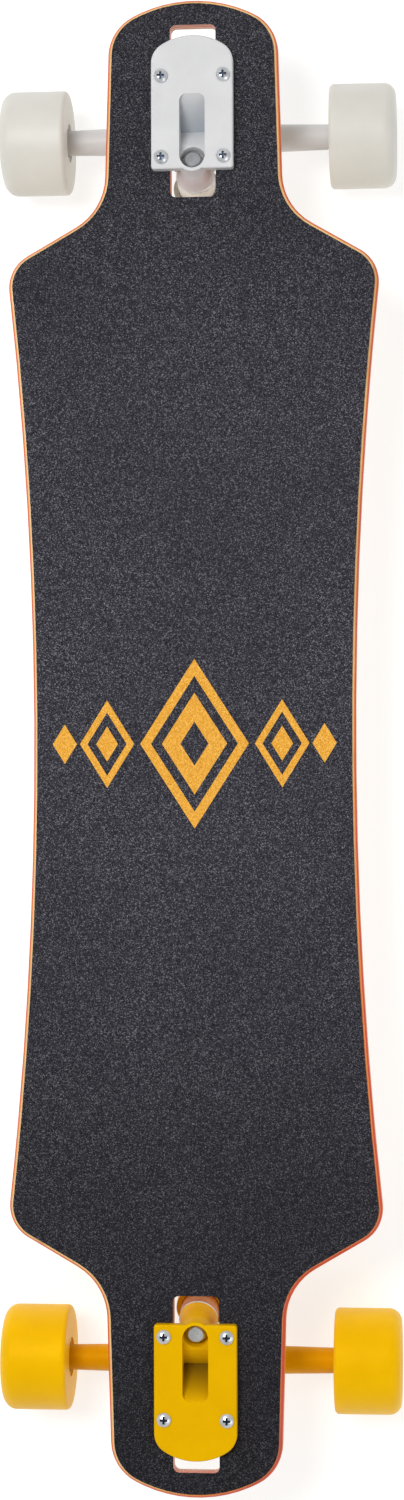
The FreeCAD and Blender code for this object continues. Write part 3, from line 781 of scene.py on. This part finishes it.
def make_lock_collars(name, body, places, bolt_radius, collar_size):
    """The rolled steel collar at the end of each lock nut, and the nylon ring that it holds."""
    radius, height = collar_size
    bore = bolt_radius + thread_clearance
    overlap = height / 20
    wall = (radius - bore) / 2
    middle = bore + wall
    collar = crowned_profile(-overlap, height, radius, radius - wall / 3, 0.0, wall / 3, middle)
    ring = crowned_profile(-overlap, height * insert_share, middle, middle, 0.0, wall / 6, bore)
    parts = (("collar", collar, "zinc_steel", "zinc_steel"), ("insert", ring, "nylon", "white_bushing"))
    for part, profile, look, slot in parts:
        mesh = bmesh.new()
        for place, axis in places:
            turn(mesh, profile, place, axis, collar_sides)
        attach(add_piece(f"{name}_{part}", mesh, look), body)


def make_nut_details(end, sign):
    """Collars on the kingpin's nut, the two axle nuts and the four mounting nuts of a truck."""
    top, down = kingpin_line(sign)
    kingpin_ends = [(top + down * kingpin_nut_end, down)]
    axle_ends = []
    for side in (-1, 1):
        axle_ends.append((Vector((side * axle_nut_end_x, sign * axle_y, axle_z)), Vector((side, 0, 0))))
    bolt_ends = []
    for x in (-bolt_spacing_x / 2, bolt_spacing_x / 2):
        for y in (-bolt_spacing_y / 2, bolt_spacing_y / 2):
            bolt_ends.append((Vector((x, sign * truck_y + y, mount_nut_z)), Vector((0, 0, -1))))
    hanger = end + "_hanger_assembly"
    make_lock_collars(end + "_kingpin_nut", "board", kingpin_ends, kingpin_radius, kingpin_collar)
    make_lock_collars(end + "_axle_nut", hanger, axle_ends, axle_radius, axle_collar)
    make_lock_collars(end + "_mounting_nut", "board", bolt_ends, screw_radius, mount_collar)


make_deck()
for end, sign in (("front", 1), ("rear", -1)):
    make_bushings(end, sign)
    make_nut_details(end, sign)


# Floor, light and camera

def make_floor():
    mesh = bpy.data.meshes.new("floor")
    half = floor_size / 2
    corners = [(-half, -half, 0), (half, -half, 0), (half, half, 0), (-half, half, 0)]
    mesh.from_pydata(corners, [], [(0, 1, 2, 3)])
    floor = bpy.data.objects.new("floor", mesh)
    bpy.context.scene.collection.objects.link(floor)
    dress(floor, "floor")


def make_light(name, place, size, power):
    """Round soft light that points at the middle of the floor."""
    data = bpy.data.lights.new(name, "AREA")
    data.shape = "DISK"
    data.size = size
    data.energy = power
    light = bpy.data.objects.new(name, data)
    light.location = place
    light.rotation_mode = "QUATERNION"
    light.rotation_quaternion = (-Vector(place)).to_track_quat("-Z", "Y")
    bpy.context.scene.collection.objects.link(light)


def make_world():
    world = bpy.data.worlds.new("studio")
    world.use_nodes = True
    tree = world.node_tree
    background = tree.nodes["Background"]
    background.inputs["Strength"].default_value = sky_strength
    place = tree.nodes.new("ShaderNodeTexCoord")
    split = tree.nodes.new("ShaderNodeSeparateXYZ")
    ramp = tree.nodes.new("ShaderNodeValToRGB")
    tree.links.new(place.outputs["Generated"], split.inputs[0])
    tree.links.new(split.outputs["Z"], ramp.inputs[0])
    tree.links.new(ramp.outputs["Color"], background.inputs["Color"])
    low, high = ramp.color_ramp.elements
    low.position = sky_ring_top
    low.color = grey(1.0)
    high.position = sky_dark_from
    high.color = grey(sky_top_share)
    bpy.context.scene.world = world


def make_camera():
    data = bpy.data.cameras.new("camera")
    data.sensor_fit = "AUTO"
    data.sensor_width = sensor_size
    away = camera_place - aim_place
    data.lens = sensor_size * away.length / frame_height_at_aim
    camera = bpy.data.objects.new("camera", data)
    back = away.normalized()
    right = Vector((0.0, 1.0, 0.0)).cross(back).normalized()
    up = back.cross(right)
    facing = Matrix((right, up, back)).transposed() @ Matrix.Rotation(camera_roll, 3, "Z")
    camera.matrix_world = Matrix.Translation(camera_place) @ facing.to_4x4()
    bpy.context.scene.collection.objects.link(camera)
    bpy.context.scene.camera = camera


make_floor()
make_world()
make_light("key", key_place, key_size, key_power)
make_light("fill", fill_place, fill_size, fill_power)
make_camera()
bpy.context.scene.view_settings.view_transform = "Standard"
